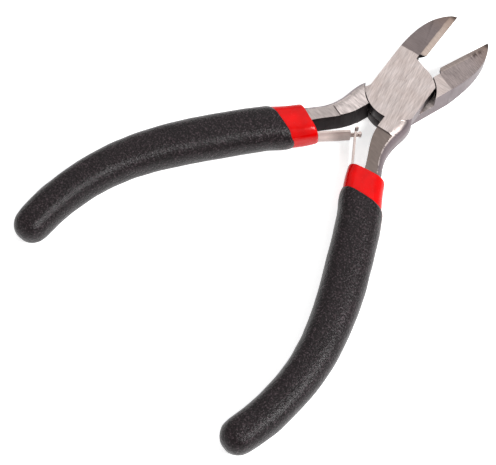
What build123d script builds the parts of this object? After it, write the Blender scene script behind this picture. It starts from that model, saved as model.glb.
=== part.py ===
"""Flush cutter: two lap-jointed steel halves, a flush rivet, interlocked leaf springs and dipped grips.

Millimetres. +Y points at the cutting tips, +Z out of the front face. The origin is on the pivot axis,
in the plane of the head's back face. The tool stands open, as its springs hold it.

Each half is drawn with the jaws shut and with its own lap plate uppermost, then turned to its place:
the front half opens anticlockwise, and the back half is the same forging turned over, its jaw ground
from the other side so that the two edges meet.
"""

import os
from math import asin, atan2, cos, degrees, hypot, radians, sin, tan

from build123d import *

os.makedirs("parts", exist_ok=True)

# Head
head_thickness = 7.0
lap_radius = 7.9           # round edge of each lap plate
lap_gap = 0.06             # film of oil between the two lap plates
shoulder_gap = 0.25        # between a lap plate and the other half's hollow shoulder
side_reach = 6.2           # straight outer side of the jaw
plate_reach = 6.2          # straight side of the lap plate, above the tang

# Jaws
jaw_length = 24.5          # pivot to tip
jaw_back = [(-5.5, 16.1), (-3.95, 20.4), (-1.9, 23.1)]  # the jaw's curved back, down to the tip
edge_start = 10.5          # heel of the cutting edge
edge_gap = 0.03            # each edge stops this far short of the middle line
heel_notch = 1.4           # relief behind the cutting edge
facet_start = 9.6          # where the jaw begins to thin towards its tip
front_drop = 1.3           # the front facet at the tip lies this far under the head's face
back_drop = 3.4
bevel_width = 1.1          # ground strip along the cutting edge
bevel_drop = 0.4
hollow_angle = 40.0        # the hollow behind the edge, from level
hollow_reach = 4.2

# Pivot
rivet_radius = 2.5
running_fit = 0.05
rivet_head_radius = 3.7
rivet_head_depth = 1.3

# Tang, the steel inside each grip
waist_inner = 0.9          # its inner side beside the springs
tang_width = 5.3
tang_step = 0.4            # the forged tang lies this far under the ground faces
front_ground_end = 10.8    # the ground faces end this far below the pivot
back_ground_end = 15.0
tang_round = 2.6

# Opening and springs
open_half_angle = 11.2
spring_thickness = 0.5
spring_width = 4.3
spring_root = (7.2, -31.9)
spring_cross = 14.2        # the leaves cross this far below the pivot
spring_tail = 1.8          # leaf past its rivet
spring_seat_gap = 0.35
seat_angle = 20.8          # the tang's flat seat, from the tool's axis
tongue_width = 1.5
tongue_root = 1.0          # the tongue leaves the full width this far before the crossing
tongue_reach = 1.0
curl_radius = 0.35
slot_clearance = 0.4
slot_half_length = 1.1
hook_reach = 1.7
hook_width = 0.4
hook_height = 0.4
pocket_gap = 0.3           # air about the leaf inside the lining

# Spring rivets
pin_radius = 0.8
pin_depth = 2.4
pin_head_radius = 1.4
pin_head_height = 0.5
pin_play = 0.3             # the leaf tilts this much under the head
pin_hole_gap = 0.15

# Grips: (x, y) of the middle line with the jaws shut, and the sleeve's width there.
# The line starts above the mouth, and both layers are cut back to their own mouths.
grip_line = [
    (2.4, -16.8, 10.0),
    (9.4, -30.0, 10.0),
    (14.2, -42.0, 10.3),
    (18.4, -54.0, 9.7),
    (20.4, -66.0, 8.8),
    (19.3, -78.0, 8.4),
    (16.6, -86.2, 8.2),
]
sleeve_wall = 0.45
sleeve_height = 8.9
sleeve_round = 2.9
lining_height = 8.0
lining_round = 1.9
lining_mouth = (4.6, -21.2)
lining_mouth_angle = 5.0
lining_clear = 0.5        # the two collars stay this far off the middle line, jaws shut
sleeve_mouth = (7.4, -26.9)
sleeve_mouth_angle = 0.0

middle = head_thickness / 2
floor_of_lap = middle + lap_gap / 2
shoulder_radius = lap_radius + shoulder_gap


def turned(point, angle):
    """A plan point turned about the pivot, anticlockwise."""
    a = radians(angle)
    return (point[0] * cos(a) - point[1] * sin(a), point[0] * sin(a) + point[1] * cos(a))


def moved(point, direction, distance):
    return (point[0] + direction[0] * distance, point[1] + direction[1] * distance)


# The leaf's own directions, in the shut half's frame
crossing = turned((0, -spring_cross), -open_half_angle)
leaf_length = hypot(crossing[0] - spring_root[0], crossing[1] - spring_root[1])
leaf_along = ((crossing[0] - spring_root[0]) / leaf_length, (crossing[1] - spring_root[1]) / leaf_length)
leaf_in = (-leaf_along[1], leaf_along[0])
leaf_angle = degrees(atan2(leaf_along[1], leaf_along[0]))
seat_along = (-sin(radians(seat_angle)), cos(radians(seat_angle)))
seat_out = (seat_along[1], -seat_along[0])
seat_foot = moved(spring_root, seat_out, spring_seat_gap + spring_thickness / 2)
seat_low = moved(seat_foot, seat_along, -(spring_tail + 0.5))
seat_high = moved(seat_foot, seat_along, (-24.0 - seat_foot[1]) / seat_along[1])


def grip_points(side, inset):
    """Points down one side of the grip, each square to the middle line and inset from the sleeve."""
    points = []
    for i, (x, y, width) in enumerate(grip_line):
        before = grip_line[max(i - 1, 0)]
        after = grip_line[min(i + 1, len(grip_line) - 1)]
        run = hypot(after[0] - before[0], after[1] - before[1])
        square = ((after[1] - before[1]) / run, -(after[0] - before[0]) / run)
        points.append(moved((x, y), square, side * (width / 2 - inset)))
    return points


def grip_face(inset):
    """Plan of the grip with a round end, inset all round."""
    inner = grip_points(1, inset)
    outer = grip_points(-1, inset)
    last, before = grip_line[-1], grip_line[-2]
    run = hypot(last[0] - before[0], last[1] - before[1])
    down = ((last[0] - before[0]) / run, (last[1] - before[1]) / run)
    tip = moved(last[:2], down, last[2] / 2 - inset)
    return make_face([
        Spline(*inner),
        ThreePointArc(inner[-1], tip, outer[-1]),
        Spline(*reversed(outer)),
        Line(outer[0], inner[0]),
    ])


def grip_body(inset, height, round_radius, mouth, mouth_angle):
    """The grip's plan at a height, its long edges rounded, cut off at its mouth."""
    body = Pos(0, 0, middle - height / 2) * extrude(grip_face(inset), height)
    rims = body.faces().filter_by(Axis.Z).edges()
    rims = rims.filter_by(lambda edge: (edge @ 0.5).Y < grip_line[0][1] - 4)
    return fillet(rims, round_radius) & below_line(mouth, mouth_angle)


def below_line(point, angle, length=200.0):
    """Everything on the handle's side of a line through a point, to cut a grip square to its run."""
    block = Pos(0, -length / 2, 0) * Box(length, length, length)
    return Pos(point[0], point[1], middle) * Rot(0, 0, angle) * block


def jaw_face():
    top = (-edge_gap, jaw_length)
    return make_face([
        Polyline(
            top,
            (-edge_gap, edge_start + 0.5),
            (-0.5, edge_start),
            (-heel_notch, edge_start - 0.4),
            (-heel_notch, lap_radius + 0.9),
            (heel_notch, lap_radius - 0.1),
            (0, 0),
            (-side_reach, 0),
            (-side_reach, facet_start),
        ),
        Spline((-side_reach, facet_start), *jaw_back, top),
    ])


def plate_face():
    trim = Pos((plate_reach - side_reach) / 2, 0) * Rectangle(plate_reach + side_reach, 2 * lap_radius)
    return Circle(lap_radius) & trim


def tang_face():
    """Plan of the tang: its neck, the flat seat for the spring, and the core along the grip."""
    core_inset = (grip_line[2][2] - tang_width) / 2
    core_inner = [p for p in grip_points(1, core_inset) if p[1] < seat_low[1] - 3][:-1]
    core_outer = [p for p in grip_points(-1, core_inset) if p[1] < lining_mouth[1] - 3][:-1]
    seat_step = moved(seat_low, seat_out, -0.7)
    neck = [(6.0, -4.0), (6.7, -7.0), (6.2, -10.5), (6.0, -13.0), (6.6, -16.5), (8.2, -20.0)]
    return make_face([
        Polyline((0, -2), (waist_inner, -6.0), (waist_inner, -10.2)),
        Spline((waist_inner, -10.2), (waist_inner + 0.8, -14.8), (4.0, -20.2), seat_high),
        Polyline(seat_high, seat_low, seat_step, core_inner[0]),
        Spline(*core_inner),
        Line(core_inner[-1], core_outer[-1]),
        Spline(*reversed(core_outer), *reversed(neck)),
        Line(neck[0], (0, -2)),
    ])


def tang():
    """The tang, rounded along its outer edges and stepped down where the ground faces end."""
    body = extrude(tang_face(), head_thickness)
    outer_rims = body.faces().filter_by(Axis.Z).edges().sort_by(SortBy.LENGTH)[-2:]
    body = fillet(outer_rims, tang_round)
    size = 4 * jaw_length
    beside = Box(size, 2 * size, size)
    body -= Pos(0, -size - front_ground_end, head_thickness + size / 2 - tang_step) * beside
    body -= Pos(0, -size - back_ground_end, tang_step - size / 2) * beside
    return body


def jaw_cutters():
    """What grinding takes off the front half's jaw: both facets, the strip along its edge and the hollow behind it."""
    run = jaw_length - facet_start
    spare = 5.0
    far = facet_start + 2 * run
    front = Plane.YZ * make_face(Polyline(
        (facet_start, head_thickness), (far, head_thickness - 2 * front_drop),
        (far, head_thickness + spare), (facet_start, head_thickness + spare), close=True,
    ))
    back = Plane.YZ * make_face(Polyline(
        (facet_start, 0), (far, 2 * back_drop), (far, -spare), (facet_start, -spare), close=True,
    ))
    facets = extrude(front, 4 * side_reach, both=True) + extrude(back, 4 * side_reach, both=True)
    fall = atan2(front_drop, run)
    begin = edge_start - 0.4
    top = head_thickness - tan(fall) * (begin - facet_start)
    edge_z = top - bevel_drop
    depth = hollow_reach * tan(radians(hollow_angle))
    section = Plane((0, begin, 0), x_dir=(1, 0, 0), z_dir=(0, -1, 0))
    strip = section * make_face(Polyline(
        (-bevel_width, top), (0, edge_z), (spare, edge_z), (spare, top + spare),
        (-bevel_width, top + spare), close=True,
    ))
    hollow = section * make_face(Polyline(
        (spare, edge_z - 0.1), (-edge_gap, edge_z - 0.1), (-hollow_reach, edge_z - depth),
        (-hollow_reach, -2 * spare), (spare, -2 * spare), close=True,
    ))
    along = (0, cos(fall), -sin(fall))
    return facets + extrude(strip, 2 * run, dir=along) + extrude(hollow, 2 * run, dir=along)


def pin_frame(back_off):
    """A plane square to the spring rivet, facing the tang, backed off from the leaf's middle."""
    x, y = moved(spring_root, seat_out, -back_off)
    return Plane((x, y, middle), x_dir=(0, 0, 1), z_dir=(seat_out[0], seat_out[1], 0))


def rod(radius, start, end):
    """A round bar along Z from start to end."""
    return Pos(0, 0, (start + end) / 2) * Cylinder(radius, end - start)


def steel_half(bore_radius, cutters, countersunk):
    """One half, jaws shut, its lap plate uppermost."""
    jaw = jaw_face()
    upper = Pos(0, 0, floor_of_lap) * extrude(jaw + plate_face(), head_thickness - floor_of_lap)
    heel = Pos(0, lap_radius / 2) * Rectangle(2 * heel_notch, lap_radius + 2)
    lower = extrude(jaw - Circle(shoulder_radius) - heel, floor_of_lap)
    body = upper + lower + (tang() - rod(shoulder_radius, -1, floor_of_lap))
    body -= cutters
    body -= rod(bore_radius, -1, head_thickness + 1)
    if countersunk:
        fit = bore_radius - rivet_radius
        sink = Cone(rivet_radius + fit, rivet_head_radius + fit, rivet_head_depth + fit)
        body -= Pos(0, 0, head_thickness - (rivet_head_depth + fit) / 2) * sink
    body -= pin_frame(0) * rod(pin_radius, 0, pin_depth)
    return body


def pivot_rivet():
    """Swaged flush into the front half, its countersunk head turning in the back half."""
    sink = Pos(0, 0, rivet_head_depth / 2) * Cone(rivet_head_radius, rivet_radius, rivet_head_depth)
    return rod(rivet_radius, 0, head_thickness) + sink


def spring_rivet():
    outside = spring_thickness / 2 + pin_play
    head = rod(pin_head_radius, -outside - pin_head_height, -outside)
    return pin_frame(0) * (rod(pin_radius, -outside, pin_depth) + head)


def leaf_frame():
    return Plane((spring_root[0], spring_root[1], middle), x_dir=(leaf_along[0], leaf_along[1], 0), z_dir=(0, 0, 1))


def strip(start, end, width):
    """A flat length of the leaf, between two distances from its rivet."""
    return Pos((start + end) / 2, 0) * Box(end - start, spring_thickness, width)


def riveted_strip(end):
    hole = Rot(90, 0, 0) * Cylinder(pin_radius + pin_hole_gap, 3 * spring_thickness)
    return strip(-spring_tail, end, spring_width) - hole


def tongue_leaf():
    """The leaf that ends in a narrow tongue with a curled tip."""
    end = leaf_length + tongue_reach
    tongue = strip(leaf_length - tongue_root - 0.5, end, tongue_width)
    curl = Pos(end, 0) * Cylinder(curl_radius, tongue_width)
    return leaf_frame() * (riveted_strip(leaf_length - tongue_root) + tongue + curl)


def slotted_leaf():
    """The leaf that the tongue passes through, with its end turned up in a small hook."""
    end = leaf_length + hook_reach
    slot_width = tongue_width + 2 * slot_clearance
    slot = strip(leaf_length - slot_half_length, leaf_length + slot_half_length, slot_width)
    slot = scale(slot, by=(1, 3, 1))
    hook = Pos(end - hook_width / 2, -hook_height / 2) * Box(
        hook_width, spring_thickness + hook_height, spring_width)
    return leaf_frame() * (riveted_strip(end) - slot + hook)


def grip_lining():
    """The inner dip: it fills round the tang and leaves a pocket for the leaf to swing in."""
    outside = grip_body(sleeve_wall, lining_height, lining_round, lining_mouth, lining_mouth_angle)
    reach = leaf_length + spring_tail
    pocket_side = spring_thickness / 2 + pocket_gap
    pocket_depth = pocket_side + tang_width - 1.3
    pocket = Pos(reach / 2 - spring_tail - pocket_gap, pocket_side - pocket_depth / 2) * Box(
        reach, pocket_depth, spring_width + 2 * pocket_gap)
    head_pocket = rod(pin_head_radius + pocket_gap, -spring_thickness / 2 - pin_play - pin_head_height - 0.15, 0)
    wide = 4 * jaw_length
    beyond = Pos(lining_clear - wide / 2, lining_mouth[1], middle) * Box(wide, wide, wide)
    return outside - beyond - tang() - leaf_frame() * pocket - pin_frame(0) * head_pocket


def grip_sleeve():
    """The outer dip over the lining."""
    outside = grip_body(0, sleeve_height, sleeve_round, sleeve_mouth, sleeve_mouth_angle)
    return outside - grip_body(sleeve_wall, lining_height, lining_round, lining_mouth, lining_mouth_angle)


def front(shape):
    """Opens a part of the front half."""
    return Rot(0, 0, open_half_angle) * shape


def back(shape):
    """Turns a part over and opens it as part of the back half."""
    return Rot(0, 0, -open_half_angle) * Pos(0, 0, head_thickness) * Rot(0, 180, 0) * shape


# Both edges lie near the front face, so the turned-over half is ground from its other side
jaw_grinding = jaw_cutters()
turned_grinding = mirror(jaw_grinding, about=Plane.XY.offset(middle))
lining = grip_lining()
sleeve = grip_sleeve()
pin = spring_rivet()

nodes = {
    "front_half": front(steel_half(rivet_radius, jaw_grinding, countersunk=False)),
    "back_half": back(steel_half(rivet_radius + running_fit, turned_grinding, countersunk=True)),
    "pivot_rivet": pivot_rivet(),
    "front_leaf_spring": front(slotted_leaf()),
    "back_leaf_spring": back(tongue_leaf()),
    "front_spring_rivet": front(pin),
    "back_spring_rivet": back(pin),
    "front_grip_lining": front(lining),
    "back_grip_lining": back(lining),
    "front_grip_sleeve": front(sleeve),
    "back_grip_sleeve": back(sleeve),
}

for name, shape in nodes.items():
    export_step(shape, f"parts/{name}.step")

root_at_rest = turned(spring_root, open_half_angle)
print("spring root at rest", [round(v, 3) for v in root_at_rest], "leaf length", round(leaf_length, 3))
print("leaf angle, open", round(degrees(asin(root_at_rest[0] / leaf_length)), 3))
print("leaf angle, shut", round(degrees(asin(spring_root[0] / leaf_length)), 3))
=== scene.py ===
"""A small flush cutter: brushed steel halves, interlocked leaf springs and two-layer dipped grips.

Metres, in the model's own frame: +Y towards the tips, +Z out of the front face, pivot axis at the origin.
"""

from math import atan2, cos, hypot, pi, radians, sin

import bpy
from mathutils import Matrix, Vector


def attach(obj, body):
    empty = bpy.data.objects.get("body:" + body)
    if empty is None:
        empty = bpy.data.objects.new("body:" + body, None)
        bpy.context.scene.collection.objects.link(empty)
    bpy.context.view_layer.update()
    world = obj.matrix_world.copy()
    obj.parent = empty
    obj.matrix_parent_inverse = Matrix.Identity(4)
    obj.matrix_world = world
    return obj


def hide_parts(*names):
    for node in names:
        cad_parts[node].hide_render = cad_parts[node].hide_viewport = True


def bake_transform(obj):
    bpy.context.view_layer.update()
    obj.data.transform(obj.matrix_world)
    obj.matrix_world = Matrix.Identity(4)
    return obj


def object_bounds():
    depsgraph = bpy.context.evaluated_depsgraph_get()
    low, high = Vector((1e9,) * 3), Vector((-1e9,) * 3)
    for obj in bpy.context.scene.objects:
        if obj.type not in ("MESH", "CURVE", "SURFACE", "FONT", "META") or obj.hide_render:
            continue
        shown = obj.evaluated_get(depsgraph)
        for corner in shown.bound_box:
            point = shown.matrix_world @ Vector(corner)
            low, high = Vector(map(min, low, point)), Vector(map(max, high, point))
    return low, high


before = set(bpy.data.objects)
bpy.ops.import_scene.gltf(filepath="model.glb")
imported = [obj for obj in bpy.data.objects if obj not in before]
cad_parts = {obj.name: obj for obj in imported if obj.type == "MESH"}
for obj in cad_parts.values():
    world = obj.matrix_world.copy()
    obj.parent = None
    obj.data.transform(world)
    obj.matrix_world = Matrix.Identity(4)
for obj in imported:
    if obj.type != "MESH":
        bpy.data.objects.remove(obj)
cad_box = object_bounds()

MM = 0.001
OPEN_HALF_ANGLE = radians(11.2)
HEAD_THICKNESS = 7.0
MIDDLE = HEAD_THICKNESS / 2

# Grip: middle line with the jaws shut, sleeve width and height, in millimetres from the pivot
GRIP_LINE = [
    (7.6, -26.9, 10.0, 8.6),
    (9.4, -30.0, 10.0, 8.7),
    (14.2, -42.0, 10.3, 8.7),
    (18.4, -54.0, 9.7, 8.6),
    (20.4, -66.0, 8.8, 8.4),
    (19.3, -78.0, 8.4, 8.2),
]
GRIP_END = (16.6, -86.2)
COLLAR_MOUTH = (5.1, -21.2)
COLLAR_SIZE = (8.9, 7.8)
SLEEVE_WALL = 0.45

# Leaf springs, in the shut half's frame
SPRING_ROOT = (7.2, -31.9)
SPRING_CROSS = 14.2
SPRING_THICKNESS = 0.5
SPRING_WIDTH = 4.3
TONGUE_WIDTH = 1.5
LEAF_TAIL = 1.8
LEAF_STEP = 1.4

# Where the ground faces and the lap plates end, along each half
FRONT_GROUND_END = -10.8
BACK_GROUND_END = -15.0
FACET_START = 9.2

# Camera, in metres, and its lens in millimetres
CAMERA_PLACE = (0.0998, -0.1418, 0.3092)
CAMERA_AIM = (0.00093, -0.04828, 0.0035)
CAMERA_LENS = 111.05

# Strength of the world: on the object, then what each kind of ray adds
WORLD_STRENGTH = 0.58
WORLD_ADDED = {"Is Camera Ray": 0.42, "Is Glossy Ray": 0.14, "Is Transmission Ray": 0.42}
FLOOR_GLOW = 0.6
FLOOR_GLOSSY_SHARE = 0.5


# ---------------------------------------------------------------- small modelling helpers


def clear_selection():
    if bpy.context.object and bpy.context.object.mode != "OBJECT":
        bpy.ops.object.mode_set(mode="OBJECT")
    bpy.ops.object.select_all(action="DESELECT")


def start_piece(name):
    """Names the primitive just added and opens it for editing, all of it selected."""
    piece = bpy.context.object
    piece.name = name
    piece.data.name = name
    bpy.ops.object.mode_set(mode="EDIT")
    bpy.ops.mesh.select_all(action="SELECT")
    return piece


def end_piece(piece):
    """Closes the piece, turns its faces outwards and puts its place into its mesh."""
    bpy.ops.mesh.select_all(action="SELECT")
    bpy.ops.mesh.normals_make_consistent(inside=False)
    bpy.ops.object.mode_set(mode="OBJECT")
    bpy.ops.object.transform_apply(location=True, rotation=True, scale=True)
    return piece


def select_faces(piece, wanted):
    """In edit mode, selects the faces whose centre and normal pass the test."""
    bpy.ops.object.mode_set(mode="OBJECT")
    for part in (piece.data.vertices, piece.data.edges):
        for item in part:
            item.select = False
    for face in piece.data.polygons:
        face.select = wanted(face.center, face.normal)
    bpy.ops.object.mode_set(mode="EDIT")
    bpy.ops.mesh.select_mode(type="FACE")


def apply_modifier(piece, kind, **settings):
    bpy.context.view_layer.objects.active = piece
    modifier = piece.modifiers.new(kind.lower(), kind)
    for name, value in settings.items():
        setattr(modifier, name, value)
    bpy.ops.object.modifier_apply(modifier=modifier.name)


def smooth(piece, angle=50):
    clear_selection()
    piece.select_set(True)
    bpy.context.view_layer.objects.active = piece
    bpy.ops.object.shade_smooth_by_angle(angle=radians(angle))


def place_half(piece, half):
    """Opens a piece drawn on the shut front half, or turns it over and opens it on the back half."""
    clear_selection()
    piece.select_set(True)
    bpy.context.view_layer.objects.active = piece
    if half == "back":
        over = Matrix.Rotation(pi, 4, "Y")
        lift = Matrix.Translation((0, 0, HEAD_THICKNESS * MM))
        piece.matrix_world = lift @ over @ piece.matrix_world
    turn = OPEN_HALF_ANGLE if half == "front" else -OPEN_HALF_ANGLE
    piece.matrix_world = Matrix.Rotation(turn, 4, "Z") @ piece.matrix_world
    bpy.ops.object.transform_apply(location=True, rotation=True, scale=True)
    return piece


# ---------------------------------------------------------------- finishes


class Number:
    """A node socket that carries a number, so that shader maths reads as arithmetic."""

    def __init__(self, finish, socket):
        self.finish = finish
        self.socket = socket

    def _do(self, operation, first, second=None):
        sockets = {0: first} if second is None else {0: first, 1: second}
        made = self.finish.node("ShaderNodeMath", sockets, operation=operation)
        return Number(self.finish, made.outputs[0])

    def __add__(self, other):
        return self._do("ADD", self, other)

    def __sub__(self, other):
        return self._do("SUBTRACT", self, other)

    def __rsub__(self, other):
        return self._do("SUBTRACT", other, self)

    def __mul__(self, other):
        return self._do("MULTIPLY", self, other)

    def __pow__(self, other):
        return self._do("POWER", self, other)

    def __abs__(self):
        return self._do("ABSOLUTE", self)

    __radd__ = __add__
    __rmul__ = __mul__

    def step(self, low, high):
        """0 below low, 1 above high, smooth between."""
        made = self.finish.node(
            "ShaderNodeMapRange", {"Value": self, "From Min": low, "From Max": high},
            interpolation_type="SMOOTHSTEP",
        )
        return Number(self.finish, made.outputs["Result"])

    def between(self, low, high, soft):
        """1 between two values and 0 outside them."""
        return self.step(low - soft, low + soft) * (1 - self.step(high - soft, high + soft))

    def spread(self, low, high):
        """Stretches the middle of a noise over low to high."""
        made = self.finish.node(
            "ShaderNodeMapRange",
            {"Value": self, "From Min": 0.25, "From Max": 0.75, "To Min": low, "To Max": high},
        )
        return Number(self.finish, made.outputs["Result"])


class Finish:
    """One material: its nodes and its surface shader."""

    def __init__(self, name):
        self.material = bpy.data.materials.new(name)
        self.material.use_nodes = True
        self.tree = self.material.node_tree
        self.surface = self.tree.nodes["Principled BSDF"]
        self.place = self.tree.nodes.new("ShaderNodeTexCoord")

    def node(self, kind, sockets, **settings):
        made = self.tree.nodes.new(kind)
        for name, value in settings.items():
            setattr(made, name, value)
        for key, value in sockets.items():
            self.feed(made.inputs[key], value)
        return made

    def feed(self, socket, value):
        value = value.socket if isinstance(value, Number) else value
        if isinstance(value, bpy.types.NodeSocket):
            self.tree.links.new(value, socket)
        else:
            socket.default_value = value

    def parts(self, vector):
        split = self.node("ShaderNodeSeparateXYZ", {0: vector})
        return [Number(self, split.outputs[i]) for i in range(3)]

    def millimetres(self):
        """Object coordinates in millimetres, as three numbers."""
        return [part * (1 / MM) for part in self.parts(self.place.outputs["Object"])]

    def facing(self):
        """The surface's own outward direction, as three numbers."""
        return self.parts(self.place.outputs["Normal"])

    def vector(self, x, y, z):
        return self.node("ShaderNodeCombineXYZ", {0: x, 1: y, 2: z}).outputs[0]

    def noise(self, vector, scale=1.0, detail=2.0, roughness=0.5):
        sockets = {"Vector": vector, "Scale": scale, "Detail": detail, "Roughness": roughness}
        return Number(self, self.node("ShaderNodeTexNoise", sockets).outputs[0])

    def cells(self, vector, scale=1.0):
        sockets = {"Vector": vector, "Scale": scale}
        made = self.node("ShaderNodeTexVoronoi", sockets, feature="F1")
        return Number(self, made.outputs["Distance"])

    def mix(self, amount, first, second):
        made = self.node("ShaderNodeMix", {0: amount, 6: first, 7: second}, data_type="RGBA")
        return made.outputs[2]

    def shade(self, colour, amount):
        """A colour made lighter or darker by a number."""
        colour = colour[:3] if isinstance(colour, tuple) else colour
        made = self.node("ShaderNodeVectorMath", {0: colour, "Scale": amount}, operation="SCALE")
        return made.outputs[0]

    def bump(self, height, depth_mm, strength=1.0):
        sockets = {"Height": height, "Distance": depth_mm * MM, "Strength": strength}
        self.feed(self.surface.inputs["Normal"], self.node("ShaderNodeBump", sockets).outputs[0])

    def set(self, **sockets):
        for name, value in sockets.items():
            self.feed(self.surface.inputs[name.replace("_", " ").title()], value)


def colour(red, green, blue):
    """A display colour, 0 to 255, as the linear colour that the shader takes."""
    return tuple((part / 255) ** 2.2 for part in (red, green, blue)) + (1.0,)


GROUND = colour(196, 185, 182)
GROUND_WARM = colour(182, 168, 163)
FACET_PAINTED_SHADED = colour(116, 106, 105)
BACK_FACET_PAINTED_LIT = colour(142, 131, 129)
FACET_BROWN = colour(126, 104, 92)
EDGE_STRIP = colour(176, 160, 150)
FORGED = colour(116, 105, 100)
FORGED_LIGHT = colour(168, 158, 155)
SIDE_WALL = colour(117, 106, 109)
PAINTED_SHOULDER_HIGHLIGHT = colour(214, 200, 195)
SCALE_AND_SHADE_BLACK = colour(22, 13, 13)
TIP_DARK = colour(62, 52, 50)
SMUDGE = colour(52, 40, 40)
TURNED = colour(178, 168, 164)
SPRING_LIGHT = colour(204, 188, 182)
SPRING_DARK = colour(180, 165, 160)
RED = colour(214, 0, 6)
RED_DEEP = colour(180, 0, 5)
BLACK = colour(22, 11, 15)
BLACK_DEEP = colour(14, 7, 9)
BLACK_GRAIN_AND_GLINT = colour(98, 84, 89)


def half_place(finish, half):
    """Millimetres on the shut half: across (jaw on the minus side), along and up; then the facing."""
    x, y, z = finish.millimetres()
    nx, ny, nz = finish.facing()
    turn = OPEN_HALF_ANGLE if half == "front" else -OPEN_HALF_ANGLE
    side = 1 if half == "front" else -1
    across = (x * cos(turn) + y * sin(turn)) * side
    along = y * cos(turn) - x * sin(turn)
    facing_across = (nx * cos(turn) + ny * sin(turn)) * side
    return across, along, z, facing_across, nz


def brushed(finish, across, along, z, angle, across_rate, along_rate, seed):
    """Fine straight grinding lines at an angle to the half's length."""
    line_across = across * cos(angle) + along * sin(angle)
    line_along = along * cos(angle) - across * sin(angle)
    spot = finish.vector(line_across * across_rate, line_along * along_rate, z * 0.2 + seed)
    return finish.noise(spot, detail=3.0, roughness=0.6)


def ground_face(finish, half, across, along, z):
    """The ground face shared by a plate and the rivet swaged flush into it: colour, lines and cloud."""
    angle = radians(12) if half == "front" else radians(72)
    long_lines = brushed(finish, across, along, z, angle, 3.0, 0.16, 0.0)
    cross_lines = brushed(finish, across, along, z, angle - radians(16), 3.6, 0.22, 7.0)
    fine_lines = brushed(finish, across, along, z, angle + radians(5), 7.0, 0.4, 3.0)
    lines = long_lines * 0.42 + cross_lines * 0.33 + fine_lines * 0.25
    cloud = finish.noise(finish.vector(across, along, z), scale=0.35, detail=2.0)
    tone = finish.mix(cloud.spread(0.0, 1.0), GROUND, GROUND_WARM)
    return finish.shade(tone, lines.spread(0.4, 1.34)), lines, cloud


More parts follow.
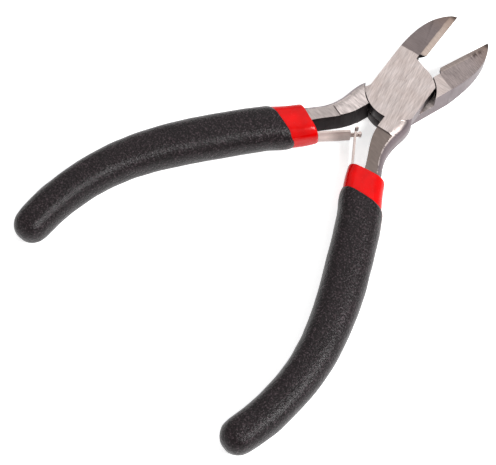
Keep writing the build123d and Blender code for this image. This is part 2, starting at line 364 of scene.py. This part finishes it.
def half_steel(half):
    """Steel of one half: ground plate, jaw facet, edge strip and forged tang, with painted light: inner
    walls darkened by forge scale and painted shade, the back facet painted lit and the front facet
    painted in shade, and a dashed painted highlight along the tang's rounded edge.
    """
    finish = Finish(f"{half}_half_steel")
    across, along, z, facing_across, nz = half_place(finish, half)
    flat = abs(nz).step(0.72, 0.9)
    front_half = half == "front"

    ground_colour, lines, cloud = ground_face(finish, half, across, along, z)
    facet_lines = brushed(finish, across, along, z, radians(84), 5.0, 0.7, 11.0)
    tang_ridges = brushed(finish, across, along, z, radians(80), 2.4, 0.45, 5.0)

    # One facet finish in two copies: the front facet painted in shade, the back facet painted lit.
    facet_range = (0.84, 1.16) if front_half else (0.62, 1.3)
    facet_tone = finish.shade(FACET_PAINTED_SHADED if front_half else BACK_FACET_PAINTED_LIT, facet_lines.spread(*facet_range))
    facet_colour = finish.shade(facet_tone, cloud.spread(0.94, 1.06))
    near_tip = along.step(17.0, 23.5)
    facet_colour = finish.mix(near_tip * 0.45, facet_colour, FACET_BROWN)
    strip = (across + cloud * 0.5).step(-1.25, -1.0) * along.step(10.2, 10.8)
    strip_colour = finish.shade(EDGE_STRIP, facet_lines.spread(0.8, 1.15))
    strip_colour = finish.mix(near_tip * 0.6, strip_colour, FACET_BROWN)
    facet_colour = finish.mix(strip * (0.9 if front_half else 0.35), facet_colour, strip_colour)
    facet_colour = finish.mix(along.step(22.6, 23.9) * 0.85, facet_colour, TIP_DARK)
    if not front_half:
        blot = finish.noise(finish.vector(across * 0.5, along * 2.6, z), scale=1.0, detail=3.0)
        near_edge = along.between(18.4, 22.0, 1.0) * across.between(-1.9, -0.8, 0.6)
        smudge = near_edge * blot.step(0.42, 0.6)
        facet_colour = finish.mix(smudge * 0.8, facet_colour, SMUDGE)

    tang_tone = FORGED if front_half else FORGED_LIGHT
    tang_range = (0.84, 1.14) if front_half else (0.7, 1.22)
    tang_colour = finish.shade(tang_tone, tang_ridges.spread(*tang_range))

    bend = cloud * 0.8 if front_half else 0.4
    on_facet = (along - bend).step(FACET_START, FACET_START + 0.25) * flat
    ground_end = FRONT_GROUND_END if front_half else BACK_GROUND_END
    on_tang = 1 - along.step(ground_end - 0.1, ground_end + 0.1)
    if not front_half:
        ridged = 1 - along.step(-7.5, -5.5)
        ridge_colour = finish.shade(GROUND, tang_ridges.spread(0.52, 1.3))
        ground_colour = finish.mix(ridged, ground_colour, ridge_colour)
    top_colour = finish.mix(on_tang, ground_colour, tang_colour)
    top_colour = finish.mix(on_facet, top_colour, facet_colour)

    wall_tone = finish.shade(SIDE_WALL, facet_lines.spread(0.88, 1.12) * cloud.spread(0.9, 1.1))
    # Walls that face the other half: forge scale with painted shade laid over it.
    jaw_inside = facing_across.step(0.2, 0.5) * along.step(0, 1)
    tang_inside = (1 - facing_across.step(-0.5, -0.2)) * (1 - along.step(-5, -4))
    inner = (jaw_inside + tang_inside).step(0.2, 0.6)
    wall_colour = finish.mix(inner * 0.92, wall_tone, SCALE_AND_SHADE_BLACK)
    # The lap plate's rounded edge at the hollow between the plates: painted shade.
    from_pivot = (across * across + along * along) ** 0.5
    lap_edge = (1 - from_pivot.step(8.2, 8.5)) * (1 - along.step(-1.5, 0.0))
    lap_edge = lap_edge * (1 - across.step(3.6, 4.4))
    wall_colour = finish.mix(lap_edge * 0.9, wall_colour, SCALE_AND_SHADE_BLACK)
    # A dashed painted highlight where the tang's top turns into its rounded side.
    dashes = finish.noise(finish.vector(across * 0.8, along * 1.6, z), detail=2.0).step(0.4, 0.55)
    shoulder = abs(nz).between(0.77, 0.96, 0.03) * (1 - along.step(-9.5, -7)) * (1 - inner) * dashes
    base = finish.mix(flat, wall_colour, top_colour)
    base = finish.mix(shoulder * 0.6, base, PAINTED_SHOULDER_HIGHLIGHT)

    line_height = lines * (1 - on_facet) * (1 - on_tang) + facet_lines * on_facet * 0.7
    ridge_share = on_tang if front_half else on_tang + along.between(-15.2, -6.5, 0.8)
    ridge_height = line_height + tang_ridges * ridge_share * (0.5 if front_half else 1.6)
    finish.bump(ridge_height, 0.03, 0.55)
    rough = 0.34 + lines.spread(-0.05, 0.08) + on_facet * 0.08 + on_tang * 0.08 + inner * 0.2
    finish.set(base_color=base, roughness=rough, metallic=0.92 - inner * 0.2)
    return finish.material


def rivet_steel():
    """Turned steel of the rivets, with faint rings on the countersunk head."""
    finish = Finish("rivet_steel")
    x, y, z = finish.millimetres()
    radius = (x * x + y * y) ** 0.5
    rings = finish.noise(finish.vector(radius * 5.0, z * 0.5, 0.0), detail=2.0)
    across, along, _, _, _ = half_place(finish, "front")
    plate_colour, lines, _ = ground_face(finish, "front", across, along, z)
    on_front = z.step(6.5, 6.9)
    turned = finish.shade(TURNED, rings.spread(0.85, 1.12))
    tone = finish.mix(on_front, turned, plate_colour)
    finish.bump(lines * on_front + rings * (1 - on_front) * 0.6, 0.03, 0.55)
    finish.set(base_color=tone, roughness=0.34 + lines.spread(-0.05, 0.08), metallic=0.92)
    return finish.material


def spring_steel():
    """Rolled spring strip: smooth, warm grey, with faint lengthwise rolling marks."""
    finish = Finish("spring_steel")
    x, y, z = finish.millimetres()
    rolling = finish.noise(finish.vector(x * 0.3, y * 0.3, z * 4.0), detail=2.0)
    cloud = finish.noise(finish.vector(x, y, z), scale=0.5, detail=2.0)
    tone = finish.mix(cloud.spread(0.0, 1.0), SPRING_LIGHT, SPRING_DARK)
    tone = finish.shade(tone, rolling.spread(0.92, 1.08))
    finish.bump(rolling, 0.01, 0.4)
    finish.set(base_color=tone, roughness=0.38, metallic=0.9)
    return finish.material


def red_dip():
    """Glossy red dip, slightly uneven where it set."""
    finish = Finish("red_dip")
    x, y, z = finish.millimetres()
    spot = finish.vector(x, y, z)
    slow = finish.noise(spot, scale=0.28, detail=2.0)
    fine = finish.noise(spot, scale=2.2, detail=2.0)
    tone = finish.mix(slow.spread(0.0, 1.0), RED, RED_DEEP)
    finish.bump(slow * 0.8 + fine * 0.2, 0.12, 0.6)
    finish.set(base_color=tone, roughness=0.22 + fine.spread(-0.05, 0.07))
    finish.surface.inputs["Specular IOR Level"].default_value = 0.17
    return finish.material


def black_dip():
    """Matte black dip with a fine sandy grain that catches the light, its pale specks partly painted
    glints.
    """
    finish = Finish("black_dip")
    x, y, z = finish.millimetres()
    spot = finish.vector(x, y, z)
    grain = finish.noise(spot, scale=2.6, detail=3.0, roughness=0.7)
    pits = finish.cells(spot, scale=1.7)
    slow = finish.noise(spot, scale=0.12, detail=2.0)
    tone = finish.mix(slow.spread(0.0, 1.0), BLACK, BLACK_DEEP)
    tone = finish.shade(tone, grain.spread(0.5, 1.5))
    # Pale specks in the grain: the dip's own grain colour, partly painted glints.
    tone = finish.mix(grain.step(0.53, 0.64) * 0.4, tone, BLACK_GRAIN_AND_GLINT)
    finish.bump(grain * 0.8 + pits * 0.5, 0.14, 1.0)
    finish.set(base_color=tone, roughness=0.3 + grain.spread(-0.08, 0.08))
    finish.surface.inputs["Specular IOR Level"].default_value = 0.26
    return finish.material


# ---------------------------------------------------------------- grips


def grip_stations(inset, start):
    """(x, y, turn, width, height) down the grip, from a mouth to the start of the round end."""
    points = [(x, y) for x, y, _, _ in GRIP_LINE] + [GRIP_END]
    stations = []
    for i, (x, y, width, height) in enumerate(GRIP_LINE):
        after = points[i + 1]
        before = points[max(i - 1, 0)]
        turn = atan2(after[0] - before[0], before[1] - after[1])
        stations.append((x, y, turn, width - 2 * inset, height - 2 * inset))
    return start + stations


def grip_skin(name, stations, mouth_wall, mouth_depth, corner, end_width):
    """A dipped skin: a rounded rectangle drawn out along the stations and closed in a round end."""
    clear_selection()
    x, y, turn, width, height = stations[0]
    centre = Vector((x, y, MIDDLE)) * MM
    bpy.ops.mesh.primitive_plane_add(size=1, location=centre, rotation=(-pi / 2, 0, 0))
    piece = start_piece(name)
    bpy.ops.object.mode_set(mode="OBJECT")
    bpy.ops.object.transform_apply(location=True, rotation=True, scale=True)
    bpy.ops.object.mode_set(mode="EDIT")
    bpy.ops.transform.resize(value=(width * MM, 1, height * MM), center_override=centre)
    bpy.ops.mesh.bevel(affect="VERTICES", offset=corner * MM, segments=4)
    bpy.ops.transform.rotate(value=-turn, orient_axis="Z", center_override=centre)

    def draw_on(to):
        nonlocal x, y, turn, width, height
        new_x, new_y, new_turn, new_width, new_height = to
        step = Vector((new_x - x, new_y - y, 0)) * MM
        bpy.ops.mesh.extrude_region_move(TRANSFORM_OT_translate={"value": step})
        here = Vector((new_x, new_y, MIDDLE)) * MM
        bpy.ops.transform.rotate(value=turn - new_turn, orient_axis="Z", center_override=here)
        grow = (new_width / width, new_width / width, new_height / height)
        bpy.ops.transform.resize(value=grow, center_override=here)
        x, y, turn, width, height = to

    for station in stations[1:]:
        draw_on(station)
    down = Vector((GRIP_END[0] - x, GRIP_END[1] - y, 0))
    end_turn = atan2(down.x, -down.y)
    draw_on((GRIP_END[0], GRIP_END[1], end_turn, end_width, min(height, end_width)))
    reach = end_width / 2
    full_width, full_height = width, height
    for part in (0.45, 0.8, 0.97):
        shrink = (1 - part ** 2) ** 0.5
        there = Vector(GRIP_END).to_3d() + down.normalized() * reach * part
        draw_on((there.x, there.y, end_turn, full_width * shrink, full_height * shrink))
    end_piece(piece)
    mouth = Vector((stations[0][0], stations[0][1], MIDDLE)) * MM
    out = Vector((-sin(stations[0][2]), cos(stations[0][2]), 0))
    clear_selection()
    piece.select_set(True)
    bpy.context.view_layer.objects.active = piece
    bpy.ops.object.mode_set(mode="EDIT")
    select_faces(
        piece,
        lambda middle, normal: (middle - mouth).length < 0.5 * MM and abs(normal.dot(out)) > 0.9,
    )
    bpy.ops.mesh.inset(thickness=0.25 * MM)
    bpy.ops.mesh.inset(thickness=(mouth_wall - 0.25) * MM)
    bpy.ops.mesh.extrude_region_move(TRANSFORM_OT_translate={"value": -out * 0.3 * MM})
    bpy.ops.mesh.extrude_region_move(TRANSFORM_OT_translate={"value": -out * mouth_depth * MM})
    end_piece(piece)
    apply_modifier(piece, "SUBSURF", levels=3, render_levels=3)
    smooth(piece, 70)
    return piece


def uneven(piece, size_mm, height_mm):
    """The slow unevenness of a dipped surface."""
    ripple = bpy.data.textures.new(f"{piece.name}_ripple", "CLOUDS")
    ripple.noise_scale = size_mm * MM
    ripple.noise_depth = 1
    apply_modifier(
        piece, "DISPLACE", texture=ripple, texture_coords="GLOBAL",
        strength=height_mm * MM, mid_level=0.5,
    )


def make_grips(finishes):
    for half in ("front", "back"):
        mouth_x, mouth_y = COLLAR_MOUTH
        width, height = COLLAR_SIZE
        collar_start = [
            (mouth_x, mouth_y, radians(5), width, height - 0.3),
            (mouth_x + 0.1, mouth_y - 0.35, radians(7), width + 0.25, height),
            (mouth_x + 0.55, mouth_y - 1.6, radians(13), width + 0.3, height),
            (mouth_x + 1.4, mouth_y - 3.6, radians(20), width + 0.2, height),
        ]
        lining = grip_skin(
            f"{half}_collar_and_lining", grip_stations(SLEEVE_WALL, collar_start),
            mouth_wall=1.0, mouth_depth=2.6, corner=2.6, end_width=7.2,
        )
        sleeve_start = [
            (7.55, -26.85, radians(0), 10.35, 8.5),
            (7.7, -27.25, radians(4), 10.6, 8.65),
            (8.2, -28.3, radians(14), 10.5, 8.65),
        ]
        sleeve = grip_skin(
            f"{half}_sleeve", sleeve_start + grip_stations(0, [])[1:],
            mouth_wall=0.7, mouth_depth=0.8, corner=3.7, end_width=8.2,
        )
        uneven(lining, 3.0, 0.12)
        uneven(sleeve, 3.5, 0.22)
        for piece, slot, node in (
            (lining, "red_dip", f"{half}_grip_lining"),
            (sleeve, "black_dip", f"{half}_grip_sleeve"),
        ):
            place_half(piece, half)
            piece.data.materials.append(finishes[slot])
            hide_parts(node)
            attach(piece, half)


# ---------------------------------------------------------------- leaf springs


def leaf_direction():
    """The crossing of the leaves seen from the shut half, and the leaf's length and lean."""
    turn = OPEN_HALF_ANGLE
    crossing = (-SPRING_CROSS * sin(turn), -SPRING_CROSS * cos(turn))
    run = (crossing[0] - SPRING_ROOT[0], crossing[1] - SPRING_ROOT[1])
    return hypot(*run), atan2(-run[0], run[1])


def strip_of_leaf(name, length):
    """A flat strip standing on edge along +Y from the origin, in short lengths."""
    clear_selection()
    first = (0, (LEAF_STEP / 2 - LEAF_TAIL) * MM, 0)
    bpy.ops.mesh.primitive_cube_add(size=1, location=first)
    piece = start_piece(name)
    bpy.ops.transform.resize(
        value=(SPRING_THICKNESS * MM, LEAF_STEP * MM, SPRING_WIDTH * MM), center_override=first,
    )
    bpy.ops.object.mode_set(mode="OBJECT")
    bpy.ops.object.transform_apply(location=True, rotation=True, scale=True)
    bpy.ops.object.mode_set(mode="EDIT")
    select_faces(piece, lambda middle, normal: normal.y > 0.9)
    left = length + LEAF_TAIL - LEAF_STEP
    pieces = round(left / LEAF_STEP)
    move = (0, left / pieces * MM, 0)
    for _ in range(pieces):
        bpy.ops.mesh.extrude_region_move(TRANSFORM_OT_translate={"value": move})
    return piece


def curl_on(start_y, step, turns, side):
    """Bends the selected end on by short steps, each turning it by so many degrees."""
    heading = 0.0
    x, y = 0.0, start_y
    for turn in turns:
        middle = radians(heading + turn / 2)
        heading += turn
        move = Vector((side * step * sin(middle), step * cos(middle), 0))
        x, y = x + move.x, y + move.y
        bpy.ops.mesh.extrude_region_move(TRANSFORM_OT_translate={"value": move * MM})
        bpy.ops.transform.rotate(
            value=side * radians(turn), orient_axis="Z", center_override=(x * MM, y * MM, 0),
        )


def slotted_leaf(name, length):
    """The leaf with a slot near its end and a small hook."""
    reach = length + 1.2
    piece = strip_of_leaf(name, reach)
    bpy.ops.transform.resize(value=(0.8, 1, 0.42), center_override=(0, reach * MM, 0))
    curl_on(reach, 0.18, [34] * 4, 1)
    end_piece(piece)
    clear_selection()
    slot = (0, length * MM, 0)
    bpy.ops.mesh.primitive_cube_add(size=1, location=slot)
    cutter = start_piece("slot_cutter")
    bpy.ops.transform.resize(value=(4 * MM, 2.0 * MM, 2.3 * MM), center_override=slot)
    end_piece(cutter)
    apply_modifier(piece, "BOOLEAN", object=cutter, operation="DIFFERENCE", solver="EXACT")
    bpy.data.objects.remove(cutter)
    return piece


def tongue_leaf(name, length):
    """The leaf that narrows to a tongue and ends in a rolled tip."""
    piece = strip_of_leaf(name, length - 1.15)
    bpy.ops.mesh.extrude_region_move(TRANSFORM_OT_translate={"value": (0, 0.15 * MM, 0)})
    narrow = TONGUE_WIDTH / SPRING_WIDTH
    bpy.ops.transform.resize(value=(0.8, 1, narrow), center_override=(0, (length - 1.0) * MM, 0))
    for _ in range(2):
        bpy.ops.mesh.extrude_region_move(TRANSFORM_OT_translate={"value": (0, 0.8 * MM, 0)})
    curl_on(length + 0.6, 0.16, [-28] * 2 + [40] * 7, -1)
    return end_piece(piece)


def make_leaves(finish):
    length, lean = leaf_direction()
    for half, maker in (("front", slotted_leaf), ("back", tongue_leaf)):
        piece = maker(f"{half}_leaf", length)
        apply_modifier(
            piece, "BEVEL", width=0.06 * MM, segments=2,
            limit_method="ANGLE", angle_limit=radians(50),
        )
        root = Matrix.Translation(Vector((SPRING_ROOT[0], SPRING_ROOT[1], MIDDLE)) * MM)
        piece.matrix_world = root @ Matrix.Rotation(lean, 4, "Z")
        place_half(piece, half)
        smooth(piece, 35)
        piece.data.materials.append(finish)
        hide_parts(f"{half}_leaf_spring")
        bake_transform(piece)


# ---------------------------------------------------------------- steel parts kept from the model


def finish_steel(finishes):
    for name, finish in finishes.items():
        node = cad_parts[name]
        node.data.materials.clear()
        node.data.materials.append(finish)
        weld = node.modifiers.new("weld", "WELD")
        weld.merge_threshold = 0.002 * MM
        bevel = node.modifiers.new("worn_edges", "BEVEL")
        bevel.width = 0.1 * MM
        bevel.segments = 2
        bevel.limit_method = "ANGLE"
        bevel.angle_limit = radians(32)


# ---------------------------------------------------------------- stage


def make_floor():
    clear_selection()
    low = cad_box[0]
    bpy.ops.mesh.primitive_plane_add(size=3, location=(0, 0, low.z - 0.00005))
    floor = bpy.context.object
    floor.name = "floor"
    finish = Finish("pale_floor")
    path = finish.tree.nodes.new("ShaderNodeLightPath")
    seen, glossy, through = (Number(finish, path.outputs[kind]) for kind in WORLD_ADDED)
    glow_colour = (FLOOR_GLOW, FLOOR_GLOW, FLOOR_GLOW, 1)
    glow = finish.mix(seen + glossy * FLOOR_GLOSSY_SHARE + through, (0, 0, 0, 1), glow_colour)
    finish.set(base_color=(0.9, 0.9, 0.9, 1), roughness=0.9, emission_color=glow)
    finish.surface.inputs["Emission Strength"].default_value = 1.0
    finish.surface.inputs["Specular IOR Level"].default_value = 0.0
    floor.data.materials.append(finish.material)


def make_world():
    world = bpy.data.worlds.new("studio")
    bpy.context.scene.world = world
    world.use_nodes = True
    tree = world.node_tree
    path = tree.nodes.new("ShaderNodeLightPath")
    back = tree.nodes["Background"]
    back.inputs["Color"].default_value = (1, 1, 1, 1)
    total = None
    for kind, amount in WORLD_ADDED.items():
        added = tree.nodes.new("ShaderNodeMath")
        added.operation = "MULTIPLY_ADD"
        tree.links.new(path.outputs[kind], added.inputs[0])
        added.inputs[1].default_value = amount
        if total is None:
            added.inputs[2].default_value = WORLD_STRENGTH
        else:
            tree.links.new(total, added.inputs[2])
        total = added.outputs[0]
    tree.links.new(total, back.inputs["Strength"])


def softbox(name, place, size, watts):
    lamp = bpy.data.lights.new(name, "AREA")
    lamp.shape = "RECTANGLE"
    lamp.size, lamp.size_y = size
    lamp.energy = watts
    box = bpy.data.objects.new(name, lamp)
    bpy.context.scene.collection.objects.link(box)
    box.location = place
    aim = Vector((0, -0.03, 0)) - Vector(place)
    box.rotation_euler = aim.to_track_quat("-Z", "Y").to_euler()


def make_lights():
    softbox("overhead_softbox", (-0.25, 0.35, 0.6), (0.5, 0.5), 0.65)
    softbox("right_softbox", (0.34, 0.05, 0.46), (0.08, 0.26), 3.3)


def make_camera():
    lens = bpy.data.cameras.new("camera")
    lens.sensor_width = 36
    lens.lens = CAMERA_LENS
    lens.clip_start = 0.01
    camera = bpy.data.objects.new("camera", lens)
    bpy.context.scene.collection.objects.link(camera)
    camera.location = CAMERA_PLACE
    aim = Vector(CAMERA_AIM) - camera.location
    camera.rotation_euler = aim.to_track_quat("-Z", "Y").to_euler()
    bpy.context.scene.camera = camera


make_camera()
make_world()
make_lights()
make_floor()
make_grips({"red_dip": red_dip(), "black_dip": black_dip()})
make_leaves(spring_steel())
rivets = rivet_steel()
finish_steel({
    "front_half": half_steel("front"),
    "back_half": half_steel("back"),
    "pivot_rivet": rivets,
    "front_spring_rivet": rivets,
    "back_spring_rivet": rivets,
})
bpy.context.scene.view_settings.view_transform = "Standard"
